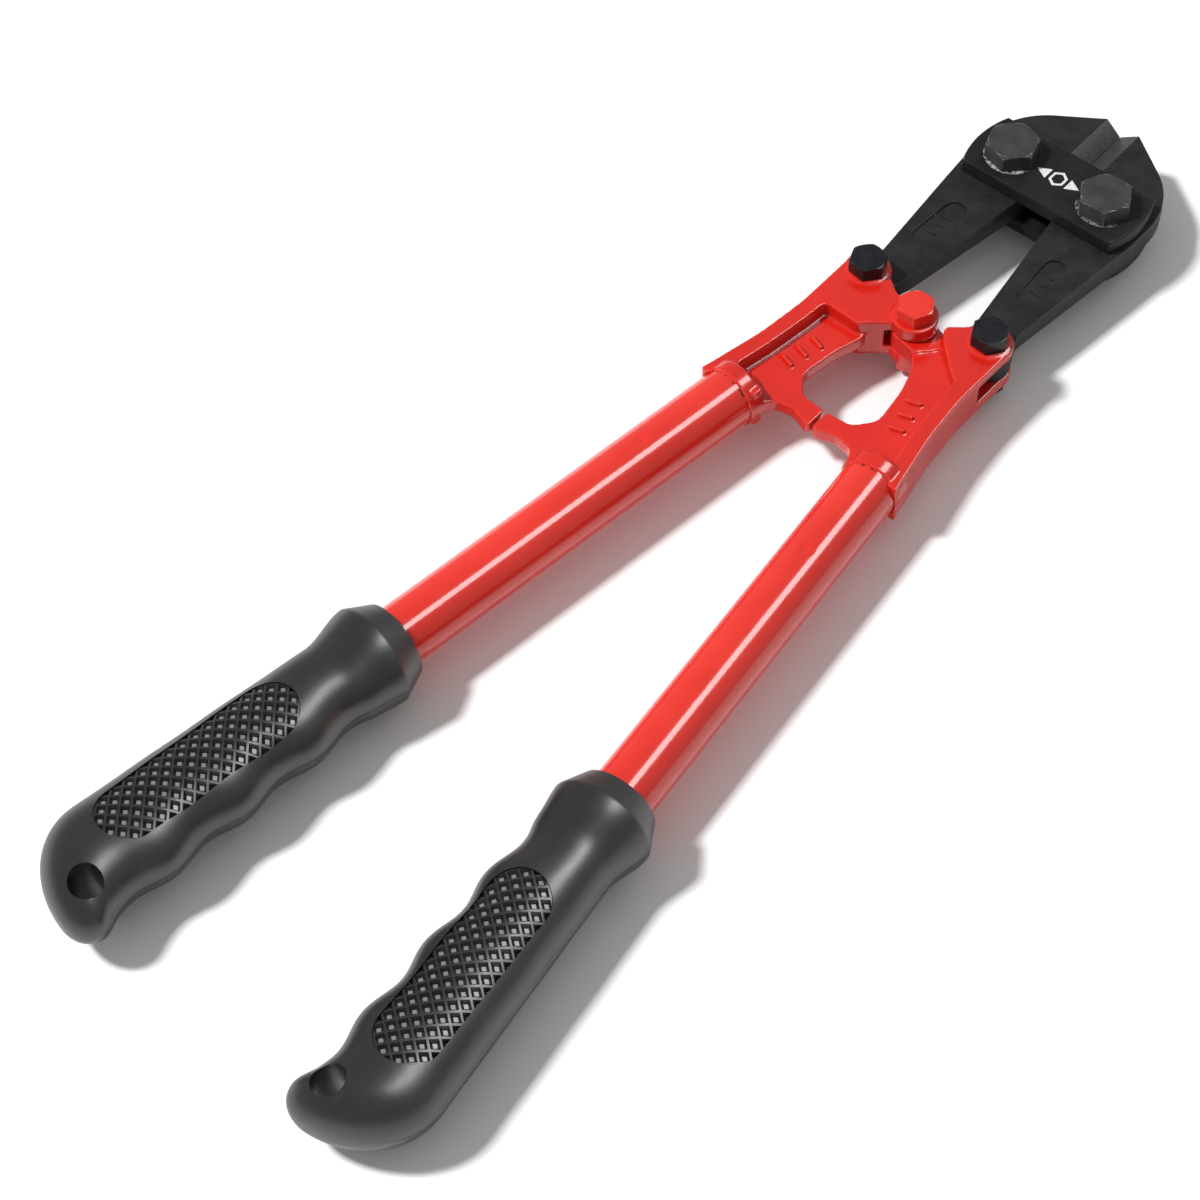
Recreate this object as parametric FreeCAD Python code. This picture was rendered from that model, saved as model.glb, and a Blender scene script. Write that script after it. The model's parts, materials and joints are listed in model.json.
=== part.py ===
import FreeCAD, Part
import math
import os

from FreeCAD import Vector

# Compound-action bolt cutters, 350 mm class, lying flat with the jaws and handles closed.
# Millimetres. The model is drawn about the centre hinge: +Y points to the jaws, the handles
# run towards -Y, Z = 0 is the mid-plane. At the end it is moved so that the origin is at the
# bottom centre of its bounding box. Each right-hand piece is drawn at +X, and its left-hand
# twin is the mirror image in the plane X = 0, apart from the centre joint of the two heads.

# ---------------------------------------------------------------- driving dimensions
GROUND_Z = -13.4             # the plane that the tool lies on, below the mid-plane

HEX_FACE_SHARE = 0.505       # radius of the flat face of a hexagon, over its width across flats
BOLT_END = 0.6               # how far a handle bolt stands out of its nut
JAW_BOLT_SHORT = 0.4         # how far a jaw bolt ends inside its nut
INTO_HEAD = 0.5              # how far each shank runs on into its head

# link plates and jaw pivots
PLATE_PIVOT = (15.0, 61.5)   # right jaw bolt
PLATE_CENTRE_Y = 61.8
PLATE_RADIUS = 26.0          # the round ends of the plates
PLATE_DEPTH = 20.6           # front edge to rear edge
PLATE_INNER_Z = 3.5
PLATE_OUTER_Z = 7.5
PLATE_EDGE_ROUND = 0.5
JAW_BOLT_RADIUS = 4.0
JAW_BOLT_HEX = 13.0          # across flats
JAW_BOLT_HEAD = 5.0
LOCK_WASHER_RADIUS = 6.6
LOCK_WASHER_THICKNESS = 1.0
WASHER_SPLIT = 0.8
JAW_NUT_HEIGHT = -GROUND_Z - PLATE_OUTER_Z - LOCK_WASHER_THICKNESS

# jaws
JAW_HALF_THICKNESS = 3.2
TAIL_HALF_THICKNESS = 2.7
TAIL_EYE_RADIUS = 6.0
TAIL_TAPER_START_Y = 46.0
TAIL_TAPER_END_Y = 16.0
CUT_EDGE_GAP = 0.12          # each cutting edge stops this far from X = 0
CUT_EDGE_FLAT = 0.35         # half height of the blunt edge
BEVEL_WIDTH = 5.2
BEVEL_LENGTH = 25.0
JAW_FRONT_Y = 92.3
RECESS_CENTRE = (16.7, 32.4)
RECESS_HALF_RUN = 6.2
RECESS_RADIUS = 3.2
RECESS_TILT = 3.4            # degrees
RECESS_FLOOR_Z = 2.55
RUNNING_FIT = 0.05           # radial clearance of a pin that turns in its hole

# handle heads (red castings)
HANDLE_PIVOT = (19.6, 5.3)   # right jaw-tail bolt
HEAD_HALF_THICKNESS = 6.2
WEB_HALF_THICKNESS = 2.0
EAR_RADIUS = 6.4
EAR_BOSS_RADIUS = 5.4
EAR_BOSS_Z = 6.6
SLOT_HALF = 3.0              # half height of the clevis slots
SLOT_END_Y = -6.6            # the floor of the jaw-tail slot
HANDLE_BOLT_RADIUS = 3.0
HANDLE_BOLT_HEX = 9.0
HANDLE_BOLT_HEAD = 4.0
HANDLE_NUT_HEIGHT = 3.6
CENTRE_EYE_RADIUS = 6.2
CENTRE_EYE_Z = 7.0
CENTRE_SLOT_RADIUS = 8.0
TONGUE_HALF = 2.7
TONGUE_HOLE_RADIUS = 4.45    # oversize: the centre joint is the open pivot of the linkage
STOP_GAP = 0.4               # half the gap between the two stop lugs
# how far each hexagon is turned: jaw bolt, handle bolt, handle nut
HEX_CORNERS = {"left": (46, 52, 15), "right": (3, 57, 15)}
CENTRE_HEX_CORNERS = (2, 20)

# handles: S runs down the tube axis from the end of the collar, W points away from X = 0
COLLAR_END = (22.7, -47.5)
HANDLE_ANGLE = 6.67          # tube axis from -Y, degrees
COLLAR_RADIUS = 8.6
COLLAR_LENGTH = 4.2
COLLAR_TAPER = 2.8           # length of the cone behind the collar
COLLAR_TAPER_RADIUS = 5.0
TUBE_RADIUS = 8.0
TUBE_BORE_RADIUS = 6.4
TUBE_IN_COLLAR = 3.0
SPIGOT_RADIUS = 6.3
SPIGOT_LENGTH = 36.0
TUBE_END_S = 192.0

# grips: G runs from the mouth of the grip towards the butt
GRIP_MOUTH_S = 110.6
GRIP_LENGTH = 106.0
FLARE_G = 6.8
FLARE_RADIUS = -GROUND_Z
MOUTH_RADIUS = 10.2
NECK_G = 20.0
NECK_OUTER = 10.7            # the outer and inner edges at the neck, from the tube axis
NECK_INNER = 12.0
NECK_HEIGHT = 10.3
BODY_HEIGHT = 10.8
BODY_GROWTH = (2.1, 2.8)     # what the outer and inner edges gain from the neck to GROWN_G
GROWN_G = 87.0
FINGER_PITCH = 21.8
FIRST_FINGER_G = 23.3
FINGER_DEPTH = 1.0
BUTT_OUTER = (86.0, 2.0, -10.6)   # where the rounding starts, its power, and the w it closes at
BUTT_INNER = (97.8, 4.0, 10.6)
BUTT_HEIGHT = (90.0, 2.4, 1.0)
BUTT_INNER_SWELL = 1.3       # what the inner edge gains over the 6 mm after SWELL_G
SWELL_G = 94.0
HOLE_G = 97.0
HOLE_W = -8.9
HOLE_RADIUS = 4.1

UP = Vector(0, 0, 1)


# ---------------------------------------------------------------- helpers
def outline(points, z):
    """Closed wire at height z through (x, y, corner radius) points, with tangent arcs."""
    edges = []
    starts = []
    ends = []
    middles = []
    count = len(points)
    for i in range(count):
        x, y, radius = points[i]
        here = Vector(x, y, z)
        before = Vector(points[i - 1][0], points[i - 1][1], z) - here
        after = Vector(points[(i + 1) % count][0], points[(i + 1) % count][1], z) - here
        before.normalize()
        after.normalize()
        half = before.getAngle(after) / 2.0
        if radius <= 0 or abs(half - math.pi / 2) < 1e-4:
            starts.append(here)
            ends.append(here)
            middles.append(None)
            continue
        reach = radius / math.tan(half)
        bisector = before + after
        bisector.normalize()
        centre = here + bisector * (radius / math.sin(half))
        starts.append(here + before * reach)
        ends.append(here + after * reach)
        middles.append(centre - bisector * radius)
    for i in range(count):
        if middles[i] is not None:
            edges.append(Part.Arc(starts[i], middles[i], ends[i]).toShape())
        following = (i + 1) % count
        if ends[i].distanceToPoint(starts[following]) > 1e-6:
            edges.append(Part.LineSegment(ends[i], starts[following]).toShape())
    return Part.Wire(edges)


def slab(points, z_low, z_high):
    """Solid between two heights over a rounded outline."""
    face = Part.Face(outline(points, z_low))
    return face.extrude(Vector(0, 0, z_high - z_low))


def disc(x, y, radius, z_low, z_high):
    return Part.makeCylinder(radius, z_high - z_low, Vector(x, y, z_low), UP)


def mirrored(shape):
    """The left-hand twin of a right-hand piece."""
    return shape.mirror(Vector(0, 0, 0), Vector(1, 0, 0))


def hexagon(x, y, across_flats, z_low, z_high, corner_angle):
    """Hexagonal prism with one corner at corner_angle degrees."""
    corner_radius = across_flats / math.sqrt(3.0)
    points = []
    for i in range(6):
        angle = math.radians(corner_angle + 60.0 * i)
        corner_x = x + corner_radius * math.cos(angle)
        corner_y = y + corner_radius * math.sin(angle)
        points.append(Vector(corner_x, corner_y, z_low))
    points.append(points[0])
    face = Part.Face(Part.makePolygon(points))
    return face.extrude(Vector(0, 0, z_high - z_low))


def hex_head(x, y, across_flats, z_seat, height, corner_angle, direction):
    """Bolt head or nut blank whose outer face has the usual 30 degree chamfer."""
    corner_radius = across_flats / math.sqrt(3.0) + 0.01
    face_radius = across_flats * HEX_FACE_SHARE
    chamfer = (corner_radius - face_radius) * math.tan(math.radians(30.0))
    seat = Vector(x, y, z_seat)
    along = Vector(0, 0, direction)
    shoulder = seat + along * (height - chamfer)
    blank = Part.makeCylinder(corner_radius, height - chamfer, seat, along)
    blank = blank.fuse(Part.makeCone(corner_radius, face_radius, chamfer, shoulder, along))
    low = min(z_seat, z_seat + direction * height)
    prism = hexagon(x, y, across_flats, low, low + height, corner_angle)
    return prism.common(blank)


def handle_point(s, w, z):
    """A point given along and across the right handle."""
    angle = math.radians(HANDLE_ANGLE)
    x = COLLAR_END[0] + s * math.sin(angle) + w * math.cos(angle)
    y = COLLAR_END[1] - s * math.cos(angle) + w * math.sin(angle)
    return Vector(x, y, z)


def handle_cylinder(radius, s_start, s_end):
    start = handle_point(s_start, 0, 0)
    direction = handle_point(s_end, 0, 0) - start
    return Part.makeCylinder(radius, s_end - s_start, start, direction)


# ---------------------------------------------------------------- link plates and their bolts
def link_plate(z_low, z_high):
    """One stamped plate: a round blank cut down to a strip across the jaws."""
    blank = disc(0, PLATE_CENTRE_Y, PLATE_RADIUS, z_low, z_high)
    strip = Part.makeBox(
        4 * PLATE_RADIUS,
        PLATE_DEPTH,
        z_high - z_low,
        Vector(-2 * PLATE_RADIUS, PLATE_CENTRE_Y - PLATE_DEPTH / 2, z_low),
    )
    plate = blank.common(strip)
    outer_z = z_high if z_high > 0 else z_low
    rim = [edge for edge in plate.Edges if abs(edge.CenterOfMass.z - outer_z) < 1e-6]
    plate = plate.makeFillet(PLATE_EDGE_ROUND, rim)
    for side in (-1, 1):
        hole = disc(side * PLATE_PIVOT[0], PLATE_PIVOT[1], JAW_BOLT_RADIUS, z_low - 1, z_high + 1)
        plate = plate.cut(hole)
    return plate


def jaw_bolt(side, corner_angle):
    """Bolt through both plates: head above, shank down to the end of the nut."""
    x = side * PLATE_PIVOT[0]
    y = PLATE_PIVOT[1]
    head = hex_head(x, y, JAW_BOLT_HEX, PLATE_OUTER_Z, JAW_BOLT_HEAD, corner_angle, 1)
    shank = disc(x, y, JAW_BOLT_RADIUS, GROUND_Z + JAW_BOLT_SHORT, PLATE_OUTER_Z + INTO_HEAD)
    return head.fuse(shank).removeSplitter()


def jaw_nut(side):
    x = side * PLATE_PIVOT[0]
    y = PLATE_PIVOT[1]
    seat = -PLATE_OUTER_Z - LOCK_WASHER_THICKNESS
    nut = hex_head(x, y, JAW_BOLT_HEX, seat, JAW_NUT_HEIGHT, 30, -1)
    return nut.cut(disc(x, y, JAW_BOLT_RADIUS, GROUND_Z - 1, 0))


def jaw_lock_washer(side):
    x = side * PLATE_PIVOT[0]
    y = PLATE_PIVOT[1]
    low = -PLATE_OUTER_Z - LOCK_WASHER_THICKNESS
    ring = disc(x, y, LOCK_WASHER_RADIUS, low, -PLATE_OUTER_Z)
    ring = ring.cut(disc(x, y, JAW_BOLT_RADIUS + 0.1, low - 1, 0))
    near_x, far_x = sorted((x + side * 3.0, x + side * 7.0))
    split = Part.makeBox(far_x - near_x, WASHER_SPLIT, 2.0, Vector(near_x, y - WASHER_SPLIT / 2, low - 0.5))
    return ring.cut(split)


# ---------------------------------------------------------------- jaws
def jaw_outline():
    """Right jaw: round nose, straight cutting edge, tapering tail."""
    return [
        (CUT_EDGE_GAP, 91.4, 0),
        (BEVEL_WIDTH, JAW_FRONT_Y, 0.6),
        (26.5, 77.8, 22.0),
        (26.7, 58.0, 12.0),
        (22.3, 14.0, 3.0),
        (24.6, 8.6, 0),
        (19.6, 5.3, 0),
        (13.7, 4.0, 0),
        (11.2, 13.0, 8.0),
        (5.7, 51.0, 0),
        (5.0, 58.5, 3.0),
        (3.6, 65.5, 2.0),
        (CUT_EDGE_GAP, 68.5, 0.8),
    ]


def jaw():
    x, y = PLATE_PIVOT
    tail_x, tail_y = HANDLE_PIVOT
    top = JAW_HALF_THICKNESS
    body = slab(jaw_outline(), -top, top)
    body = body.fuse(disc(tail_x, tail_y, TAIL_EYE_RADIUS, -top, top))
    # the tail thins towards its eye
    side_view = [
        Vector(-5, 97, -top),
        Vector(-5, 97, top),
        Vector(-5, TAIL_TAPER_START_Y, top),
        Vector(-5, TAIL_TAPER_END_Y, TAIL_HALF_THICKNESS),
        Vector(-5, -5, TAIL_HALF_THICKNESS),
        Vector(-5, -5, -TAIL_HALF_THICKNESS),
        Vector(-5, TAIL_TAPER_END_Y, -TAIL_HALF_THICKNESS),
        Vector(-5, TAIL_TAPER_START_Y, -top),
        Vector(-5, 97, -top),
    ]
    body = body.common(Part.Face(Part.makePolygon(side_view)).extrude(Vector(40, 0, 0)))
    # ground bevels above and below the cutting edge
    for sign in (-1, 1):
        wedge = [
            Vector(CUT_EDGE_GAP, JAW_FRONT_Y + 2, sign * CUT_EDGE_FLAT),
            Vector(BEVEL_WIDTH, JAW_FRONT_Y + 2, sign * top),
            Vector(BEVEL_WIDTH, JAW_FRONT_Y + 2, sign * (top + 1)),
            Vector(CUT_EDGE_GAP - 2, JAW_FRONT_Y + 2, sign * (top + 1)),
            Vector(CUT_EDGE_GAP - 2, JAW_FRONT_Y + 2, sign * CUT_EDGE_FLAT),
            Vector(CUT_EDGE_GAP, JAW_FRONT_Y + 2, sign * CUT_EDGE_FLAT),
        ]
        body = body.cut(Part.Face(Part.makePolygon(wedge)).extrude(Vector(0, -BEVEL_LENGTH - 2, 0)))
    # shallow oval recess in the broad face of the tail, above and below
    tilt = math.radians(RECESS_TILT)
    for sign in (-1, 1):
        low, high = sorted((sign * RECESS_FLOOR_Z, sign * (top + 1)))
        bar = Part.makeBox(
            2 * RECESS_RADIUS, 2 * RECESS_HALF_RUN, high - low, Vector(-RECESS_RADIUS, -RECESS_HALF_RUN, low)
        )
        bar.rotate(Vector(0, 0, 0), UP, RECESS_TILT)
        bar.translate(Vector(RECESS_CENTRE[0], RECESS_CENTRE[1], 0))
        body = body.cut(bar)
        for end in (-1, 1):
            end_x = RECESS_CENTRE[0] - end * RECESS_HALF_RUN * math.sin(tilt)
            end_y = RECESS_CENTRE[1] + end * RECESS_HALF_RUN * math.cos(tilt)
            body = body.cut(disc(end_x, end_y, RECESS_RADIUS, low, high))
    body = body.cut(disc(x, y, JAW_BOLT_RADIUS + RUNNING_FIT, -10, 10))
    body = body.cut(disc(tail_x, tail_y, HANDLE_BOLT_RADIUS + RUNNING_FIT, -10, 10))
    return body.removeSplitter()


# ---------------------------------------------------------------- handle heads
def head_blank(full_height_outline, inner_web_outline):
    """What both castings share: raised frame, thin web with its stop lug, ear, collar, spigot."""
    x, y = HANDLE_PIVOT
    full = HEAD_HALF_THICKNESS
    web = WEB_HALF_THICKNESS
    blank = slab(full_height_outline, -full, full)
    blank = blank.fuse(slab(inner_web_outline, -web, web))
    blank = blank.fuse(disc(x, y, EAR_RADIUS, -full, full))
    blank = blank.fuse(disc(x, y, EAR_BOSS_RADIUS, -EAR_BOSS_Z, EAR_BOSS_Z))
    blank = blank.fuse(handle_cylinder(COLLAR_RADIUS, -COLLAR_LENGTH, 0))
    taper_start = handle_point(-COLLAR_LENGTH, 0, 0)
    taper_end = handle_point(-COLLAR_LENGTH - COLLAR_TAPER, 0, 0)
    blank = blank.fuse(Part.makeCone(COLLAR_RADIUS, COLLAR_TAPER_RADIUS, COLLAR_TAPER, taper_start,
                                     taper_end - taper_start))
    # socket for the tube, round the spigot
    socket = handle_cylinder(TUBE_RADIUS, -TUBE_IN_COLLAR, 5)
    blank = blank.cut(socket)
    blank = blank.fuse(handle_cylinder(SPIGOT_RADIUS, -TUBE_IN_COLLAR - 1, SPIGOT_LENGTH))
    # slot for the tail of the jaw, open at the front, the outside and the inside
    slot = [
        (12.2, 20.0, 0),
        (34.0, 20.0, 0),
        (34.0, SLOT_END_Y, 0),
        (21.0, SLOT_END_Y, 0),
        (12.2, -1.5, 5.0),
    ]
    blank = blank.cut(slab(slot, -SLOT_HALF, SLOT_HALF))
    blank = blank.cut(disc(x, y, HANDLE_BOLT_RADIUS, -12, 12))
    return blank


def web_outline(inner_start):
    """Thin web from the centre joint to the collar, with the stop lug, for the right head."""
    return inner_start + [
        (8.3, -12.2, 0),
        (10.4, -19.0, 20.0),
        (12.1, -30.5, 5.0),
        (7.6, -36.0, 4.0),
        (STOP_GAP, -36.4, 0.9),
        (STOP_GAP, -43.2, 0.9),
        (7.0, -41.0, 4.0),
        (12.6, -42.0, 3.0),
        (14.4, -47.3, 0),
        (30.0, -46.0, 0),
        (27.5, -32.0, 0),
        (24.5, -14.0, 0),
    ]


def frame_outline(inner_points):
    """Full-height region: from the ear down the outer edge to the collar and back."""
    return [
        (25.9, 5.3, 0),
        (25.7, -14.2, 60.0),
        (27.2, -29.0, 60.0),
        (30.6, -45.6, 0),
        (31.4, -48.3, 0.5),
        (14.8, -46.6, 0),
        (14.6, -43.5, 1.0),
        (25.0, -41.6, 1.5),
        (22.9, -30.4, 0),
        (21.3, -18.0, 0),
        (20.7, -10.8, 1.5),
    ] + inner_points


def right_head():
    frame = frame_outline([
        (17.6, -8.4, 0),
        (10.1, -1.6, 4.0),
        (8.3, 1.2, 0),
        (8.3, 2.7, 0.6),
        (12.6, 6.2, 3.0),
        (13.6, 9.5, 0),
        (19.6, 5.3, 0),
    ])
    web = web_outline([
        (19.0, 0.0, 0),
        (8.9, 1.0, 0),
        (5.4, -3.2, 0),
        (4.6, -6.8, 2.0),
    ])
    head = head_blank(frame, web)
    tongue = disc(0, 0, CENTRE_EYE_RADIUS, -TONGUE_HALF, TONGUE_HALF)
    neck = [
        (0.0, CENTRE_EYE_RADIUS, 0),
        (5.2, 3.4, 0),
        (9.5, 2.2, 0),
        (10.0, -2.0, 0),
        (5.4, -7.2, 0),
        (0.0, -CENTRE_EYE_RADIUS, 0),
    ]
    tongue = tongue.fuse(slab(neck, -TONGUE_HALF, TONGUE_HALF))
    head = head.fuse(tongue)
    head = head.cut(disc(0, 0, TONGUE_HOLE_RADIUS, -12, 12))
    return head.removeSplitter()


def left_head():
    """Drawn at +X like the right head and mirrored at the end."""
    frame = frame_outline([
        (10.0, -11.2, 1.0),
        (7.2, -8.4, 4.0),
        (2.6, -5.0, 0),
        (0.0, 0.0, 0),
        (3.6, 4.6, 0),
        (7.6, 2.9, 4.0),
        (13.4, 7.0, 3.0),
        (14.4, 9.2, 0),
        (19.6, 5.3, 0),
    ])
    web = web_outline([
        (19.0, -8.0, 0),
        (8.0, -8.0, 0),
    ])
    head = head_blank(frame, web)
    full = HEAD_HALF_THICKNESS
    head = head.fuse(disc(0, 0, CENTRE_EYE_RADIUS, -CENTRE_EYE_Z, CENTRE_EYE_Z))
    head = head.cut(disc(0, 0, CENTRE_SLOT_RADIUS, -SLOT_HALF, SLOT_HALF))
    head = head.cut(disc(0, 0, HANDLE_BOLT_RADIUS, -full - 3, full + 3))
    return mirrored(head.removeSplitter())


def through_bolt(x, y, seat_z, corner_angle):
    """Bolt of a handle joint or of the centre joint."""
    head = hex_head(x, y, HANDLE_BOLT_HEX, seat_z, HANDLE_BOLT_HEAD, corner_angle, 1)
    shank = disc(x, y, HANDLE_BOLT_RADIUS, -seat_z - HANDLE_NUT_HEIGHT - BOLT_END, seat_z + INTO_HEAD)
    return head.fuse(shank).removeSplitter()


def through_nut(x, y, seat_z, corner_angle):
    nut = hex_head(x, y, HANDLE_BOLT_HEX, -seat_z, HANDLE_NUT_HEIGHT, corner_angle, -1)
    return nut.cut(disc(x, y, HANDLE_BOLT_RADIUS, -20, 0))


# ---------------------------------------------------------------- tubes and grips
def tube():
    outer = handle_cylinder(TUBE_RADIUS, -TUBE_IN_COLLAR, TUBE_END_S)
    bore = handle_cylinder(TUBE_BORE_RADIUS, -TUBE_IN_COLLAR - 1, TUBE_END_S + 1)
    return outer.cut(bore)


def smooth(t):
    t = max(0.0, min(1.0, t))
    return t * t * (3.0 - 2.0 * t)


def rounded(value, g, butt):
    """Carry a section value down to its closing value along the butt."""
    start, power, closing = butt
    if g <= start:
        return value
    t = (g - start) / (GRIP_LENGTH - start)
    return closing + (value - closing) * math.sqrt(max(0.0, 1.0 - t ** power))


def grip_section(g):
    """Outer edge, inner edge and half height of the grip at distance g from its mouth."""
    # the flared collar at the mouth
    if g < FLARE_G:
        flare = MOUTH_RADIUS + (FLARE_RADIUS - MOUTH_RADIUS) * (g / FLARE_G)
        return flare, -flare, flare
    grow = (g - NECK_G) / (GROWN_G - NECK_G)
    outer = NECK_OUTER + BODY_GROWTH[0] * grow
    inner = NECK_INNER + BODY_GROWTH[1] * grow
    fingers = 0.5 - 0.5 * math.cos(2 * math.pi * (g - FIRST_FINGER_G) / FINGER_PITCH)
    inner += FINGER_DEPTH * (2.0 * fingers - 1.0) * smooth((g - 11.0) / 10.0)
    height = NECK_HEIGHT + (BODY_HEIGHT - NECK_HEIGHT) * smooth((g - NECK_G) / 20.0)
    blend = smooth((g - FLARE_G) / (NECK_G - FLARE_G))
    outer = FLARE_RADIUS + (outer - FLARE_RADIUS) * blend
    inner = FLARE_RADIUS + (inner - FLARE_RADIUS) * blend
    height = FLARE_RADIUS + (height - FLARE_RADIUS) * blend
    # the rounded butt, which closes towards the inside
    outer = rounded(outer, g, BUTT_OUTER)
    inner = rounded(inner + BUTT_INNER_SWELL * smooth((g - SWELL_G) / 6.0), g, BUTT_INNER)
    return outer, -inner, rounded(height, g, BUTT_HEIGHT)


def grip_wire(g):
    """Closed section curve, a little squarer than an ellipse."""
    outer, inner, height = grip_section(g)
    middle = (outer + inner) / 2
    half = max((outer - inner) / 2, 0.8)
    squareness = 0.94 if g > NECK_G else 1.0
    points = []
    for i in range(24):
        angle = 2 * math.pi * i / 24
        across = math.copysign(abs(math.cos(angle)) ** squareness, math.cos(angle))
        above = math.copysign(abs(math.sin(angle)) ** squareness, math.sin(angle))
        points.append(handle_point(GRIP_MOUTH_S + g, middle + half * across, height * above))
    curve = Part.BSplineCurve()
    curve.interpolate(points, PeriodicFlag=True)
    return Part.Wire(curve.toShape())


def grip():
    """Moulded sleeve: flared mouth, body with finger grooves, blind bore and hang hole."""
    stations = [0.0, FLARE_G / 2, FLARE_G, 10.0, 13.0, 17.0, NECK_G]
    g = FIRST_FINGER_G + FINGER_PITCH / 4
    while g < GRIP_LENGTH - 18.0:
        stations.append(g)
        g += FINGER_PITCH / 4
    stations += [GRIP_LENGTH - back for back in (14.5, 10.5, 6.8, 3.6, 1.4, 0.0)]
    body = Part.makeLoft([grip_wire(g) for g in stations], True, True)
    sleeve = body.cut(handle_cylinder(TUBE_RADIUS, GRIP_MOUTH_S - 1, TUBE_END_S))
    centre = handle_point(GRIP_MOUTH_S + HOLE_G, HOLE_W, 0)
    return sleeve.cut(disc(centre.x, centre.y, HOLE_RADIUS, -20, 20))


# ---------------------------------------------------------------- assembly
def all_parts():
    parts = {}
    parts["upper_link_plate"] = link_plate(PLATE_INNER_Z, PLATE_OUTER_Z)
    parts["lower_link_plate"] = link_plate(-PLATE_OUTER_Z, -PLATE_INNER_Z)
    right_jaw = jaw()
    right_tube = tube()
    right_grip = grip()
    parts["right_jaw"] = right_jaw
    parts["left_jaw"] = mirrored(right_jaw)
    parts["right_tube"] = right_tube
    parts["left_tube"] = mirrored(right_tube)
    parts["right_grip"] = right_grip
    parts["left_grip"] = mirrored(right_grip)
    parts["right_head"] = right_head()
    parts["left_head"] = left_head()
    for side, name in ((-1, "left"), (1, "right")):
        jaw_corner, handle_corner, nut_corner = HEX_CORNERS[name]
        x, y = side * HANDLE_PIVOT[0], HANDLE_PIVOT[1]
        parts[name + "_jaw_bolt"] = jaw_bolt(side, jaw_corner)
        parts[name + "_jaw_nut"] = jaw_nut(side)
        parts[name + "_jaw_lock_washer"] = jaw_lock_washer(side)
        parts[name + "_handle_bolt"] = through_bolt(x, y, EAR_BOSS_Z, handle_corner)
        parts[name + "_handle_nut"] = through_nut(x, y, EAR_BOSS_Z, nut_corner)
    parts["centre_bolt"] = through_bolt(0, 0, CENTRE_EYE_Z, CENTRE_HEX_CORNERS[0])
    parts["centre_nut"] = through_nut(0, 0, CENTRE_EYE_Z, CENTRE_HEX_CORNERS[1])
    return parts


def main():
    os.makedirs("parts", exist_ok=True)
    parts = all_parts()
    box = FreeCAD.BoundBox()
    for shape in parts.values():
        box.add(shape.optimalBoundingBox(False))
    shift = Vector(-box.Center.x, -box.Center.y, -box.ZMin)
    print("size %.2f x %.2f x %.2f" % (box.XLength, box.YLength, box.ZLength))
    print("centre hinge at %.3f %.3f %.3f" % (shift.x, shift.y, shift.z))
    for name, shape in sorted(parts.items()):
        shape.translate(shift)
        print("%-24s valid %s, volume %.1f" % (name, shape.isValid(), shape.Volume))
        shape.exportStep(os.path.join("parts", name + ".step"))


main()
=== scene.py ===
import json
import math

import bmesh
import bpy
import numpy as np
from mathutils import Matrix, Vector


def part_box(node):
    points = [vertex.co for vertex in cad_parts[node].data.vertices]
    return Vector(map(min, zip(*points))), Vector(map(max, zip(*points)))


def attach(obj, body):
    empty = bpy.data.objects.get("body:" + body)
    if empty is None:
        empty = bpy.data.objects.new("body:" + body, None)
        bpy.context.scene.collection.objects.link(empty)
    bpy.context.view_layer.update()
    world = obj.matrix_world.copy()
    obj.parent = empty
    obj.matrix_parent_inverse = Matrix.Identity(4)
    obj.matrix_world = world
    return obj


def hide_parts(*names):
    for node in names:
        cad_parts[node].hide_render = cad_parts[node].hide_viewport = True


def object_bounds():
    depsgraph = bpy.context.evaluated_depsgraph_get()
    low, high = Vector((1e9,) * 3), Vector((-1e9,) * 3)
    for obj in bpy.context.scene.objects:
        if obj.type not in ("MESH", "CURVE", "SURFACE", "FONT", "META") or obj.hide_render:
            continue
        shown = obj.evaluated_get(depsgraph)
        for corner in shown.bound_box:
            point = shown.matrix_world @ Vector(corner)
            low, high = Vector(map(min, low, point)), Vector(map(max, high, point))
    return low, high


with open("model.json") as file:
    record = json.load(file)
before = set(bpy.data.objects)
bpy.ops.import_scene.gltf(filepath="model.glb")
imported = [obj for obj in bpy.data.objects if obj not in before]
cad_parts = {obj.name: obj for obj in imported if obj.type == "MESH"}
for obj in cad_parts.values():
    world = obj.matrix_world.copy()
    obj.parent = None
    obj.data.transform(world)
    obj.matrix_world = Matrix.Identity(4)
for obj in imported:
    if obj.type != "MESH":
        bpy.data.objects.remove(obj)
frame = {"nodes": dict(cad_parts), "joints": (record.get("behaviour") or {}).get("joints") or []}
cad_low, cad_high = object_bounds()

# Bolt cutters of the 350 mm class. Pieces are modelled in millimetres about the centre joint,
# +Y towards the jaws and Z = 0 in the mid-plane, and then placed in the frame, in metres.
MM = 0.001

joint_at = {joint["name"]: Vector(joint["pos_m"]) for joint in frame["joints"]}
bolt_low, bolt_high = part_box("centre_bolt")
CENTRE = Vector((
    (bolt_low.x + bolt_high.x) / 2,
    (bolt_low.y + bolt_high.y) / 2,
    joint_at["left_jaw_pivot"].z,
))
TOOL = Matrix.Translation(CENTRE) @ Matrix.Scale(MM, 4)
MIRROR = Matrix.Scale(-1.0, 4, (1.0, 0.0, 0.0))
SIDES = (("left", -1), ("right", 1))

# handles: S runs down the tube from the end of the collar, W points away from X = 0
COLLAR_END = (22.7, -47.5)
HANDLE_ANGLE = math.radians(6.67)
COLLAR_RADIUS = 8.6
TUBE_RADIUS = 8.0
TUBE_BORE_RADIUS = 6.4
TUBE_START_S = -3.0
TUBE_END_S = 192.0
DIMPLE_S = 30.0              # punched dimple that holds the tube on its spigot
DIMPLE_RADIUS = 2.3
DIMPLE_DEPTH = 0.45

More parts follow.
